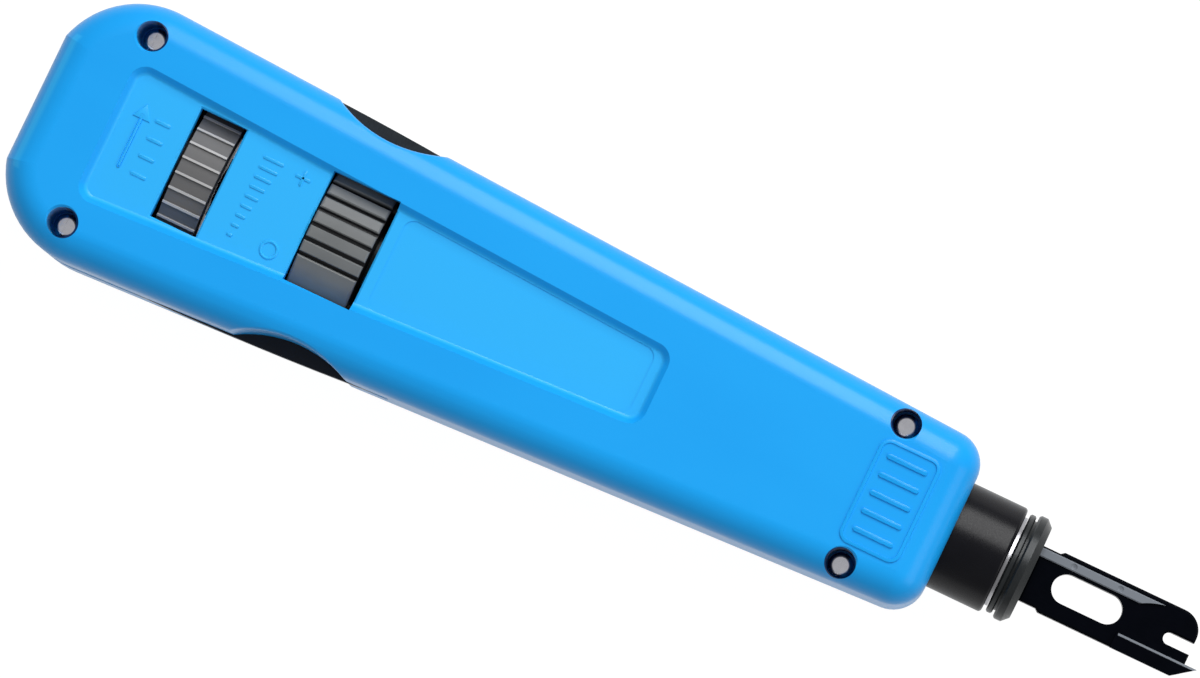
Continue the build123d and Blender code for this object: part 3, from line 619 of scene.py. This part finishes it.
springLooks = {
    # the two coil springs, each between the bodies at its ends
    # (axis 0 is X and 2 is Z, wire is its radius in millimetres, steps are for one turn)
    "main_spring": {"axis": 0, "wire": 0.8, "turns": 6, "steps": 32, "rounding": 3,
                    "bodies": ("housing", "hammer")},
    "sear_spring": {"axis": 2, "wire": 0.25, "turns": 4, "steps": 24, "rounding": 3,
                    "bodies": ("hammer", "sear")},
}


def coilPoint(middle, axis, radius, along, angle):
    # a point of a coil whose axis is X or Z
    first, second = radius * math.sin(angle), radius * math.cos(angle)
    if axis == 0:
        return (along, middle.y + first, middle.z + second)
    return (middle.x + first, middle.y + second, along)


def addSpring(node, look):
    low, high = (Vector(corner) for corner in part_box(node))
    middle = (low + high) / 2
    axis, wire = look["axis"], look["wire"] * mm
    radius = (high.y - low.y) / 2 - wire
    start, length = low[axis] + wire, high[axis] - low[axis] - 2 * wire
    steps = look["turns"] * look["steps"]
    bpy.ops.curve.primitive_nurbs_path_add()
    coil = bpy.context.object
    coil.name = node + "_coil"
    coil.data.splines.clear()
    path = coil.data.splines.new("POLY")
    path.points.add(steps)
    for index, point in enumerate(path.points):
        angle = 2 * math.pi * index / look["steps"]
        point.co = (*coilPoint(middle, axis, radius, start + length * index / steps, angle), 1)
    coil.data.bevel_depth = wire
    coil.data.bevel_resolution = look["rounding"]
    coil.data.use_fill_caps = True
    bpy.ops.object.convert(target="MESH")
    spring = bpy.context.object
    bpy.ops.object.shade_smooth_by_angle(angle=smoothAngle)
    spring.data.materials.clear()
    spring.data.materials.append(finishes["spring_steel"])
    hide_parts(node)
    lowEnd, highEnd = middle.copy(), middle.copy()
    lowEnd[axis], highEnd[axis] = low[axis], high[axis]
    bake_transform(spring)
    return spring


springs = [addSpring(node, look) for node, look in springLooks.items()]
print("springs wound:", len(springs))


stageSetup = {
    "floorSize": 6.0,
    "floorRoughness": 0.8,
    "floorGap": 0.02 * mm,                        # under the tool's flat back
    "floorColour": colour(0.36, 0.36, 0.36),      # as it lights the tool
    "floorShown": colour(0.10, 0.10, 0.10),       # as the camera sees it, under its glow
    "floorGlow": (0.97, 0.68),                    # for the camera and in reflections
    "worldStrength": (0.36, 1.0, 0.42),           # as light, for the camera, in reflections
    "lamps": {
        # tilt is from straight up, turn from +Y towards the rear, both in degrees
        "key": {"tilt": 42, "turn": -4, "distance": 1.1, "size": (0.45, 0.95), "power": 10.3},
        "front": {"tilt": 60, "turn": -95, "distance": 1.1, "size": (0.60, 0.60), "power": 2.2},
    },
}


def byRay(tree, camera, glossy, other=0.0):
    # one value for what the camera sees, one for reflections, one for all other light
    rays = addNode(tree, "ShaderNodeLightPath")
    reflected = addNode(tree, "ShaderNodeMapRange", {"To Min": other, "To Max": glossy})
    seen = addNode(tree, "ShaderNodeMapRange", {"To Max": camera})
    tree.links.new(rays.outputs["Is Glossy Ray"], reflected.inputs["Value"])
    tree.links.new(rays.outputs["Is Camera Ray"], seen.inputs["Value"])
    tree.links.new(reflected.outputs["Result"], seen.inputs["To Min"])
    return seen.outputs["Result"]


def addFloor(setup):
    bpy.ops.mesh.primitive_plane_add(size=setup["floorSize"], location=(0, 0, -setup["floorGap"]))
    floor = bpy.context.object
    floor.name = "floor"
    material, tree, shader = newMaterial("pale_floor")
    shown = mixColours(tree, byRay(tree, 1.0, 0.0), setup["floorColour"], setup["floorShown"])
    tree.links.new(shown, shader.inputs["Base Color"])
    shader.inputs["Roughness"].default_value = setup["floorRoughness"]
    shader.inputs["Specular IOR Level"].default_value = 0.0
    shader.inputs["Emission Color"].default_value = colour(1, 1, 1)
    tree.links.new(byRay(tree, *setup["floorGlow"]), shader.inputs["Emission Strength"])
    # seen from below, the floor lets the tool's back show
    side = addNode(tree, "ShaderNodeNewGeometry")
    clear = addNode(tree, "ShaderNodeBsdfTransparent")
    either = addNode(tree, "ShaderNodeMixShader")
    tree.links.new(side.outputs["Backfacing"], either.inputs[0])
    tree.links.new(shader.outputs[0], either.inputs[1])
    tree.links.new(clear.outputs[0], either.inputs[2])
    tree.links.new(either.outputs[0], tree.nodes["Material Output"].inputs["Surface"])
    floor.data.materials.append(material)


def addWorld(setup):
    world = bpy.data.worlds.new("studio")
    bpy.context.scene.world = world
    world.use_nodes = True
    tree = world.node_tree
    background = tree.nodes["Background"]
    background.inputs["Color"].default_value = colour(1, 1, 1)
    light, camera, glossy = setup["worldStrength"]
    tree.links.new(byRay(tree, camera, glossy, light), background.inputs["Strength"])


def addLamp(name, setup):
    tilt = math.radians(setup["tilt"])
    turn = math.radians(setup["turn"])
    flat = setup["distance"] * math.sin(tilt)
    location = (-flat * math.sin(turn), flat * math.cos(turn), setup["distance"] * math.cos(tilt))
    bpy.ops.object.light_add(type="AREA", location=location)
    lamp = bpy.context.object
    lamp.name = name
    lamp.data.shape = "RECTANGLE"
    lamp.data.size, lamp.data.size_y = setup["size"]    # across and along the direction of its tilt
    lamp.data.energy = setup["power"]
    lamp.rotation_euler = Vector(location).to_track_quat("Z", "Y").to_euler()


addFloor(stageSetup)
addWorld(stageSetup)
for lampName, lampSetup in stageSetup["lamps"].items():
    addLamp(lampName + "_light", lampSetup)
print("stage and lamps placed")

scene = bpy.context.scene
scene.view_settings.view_transform = "Standard"
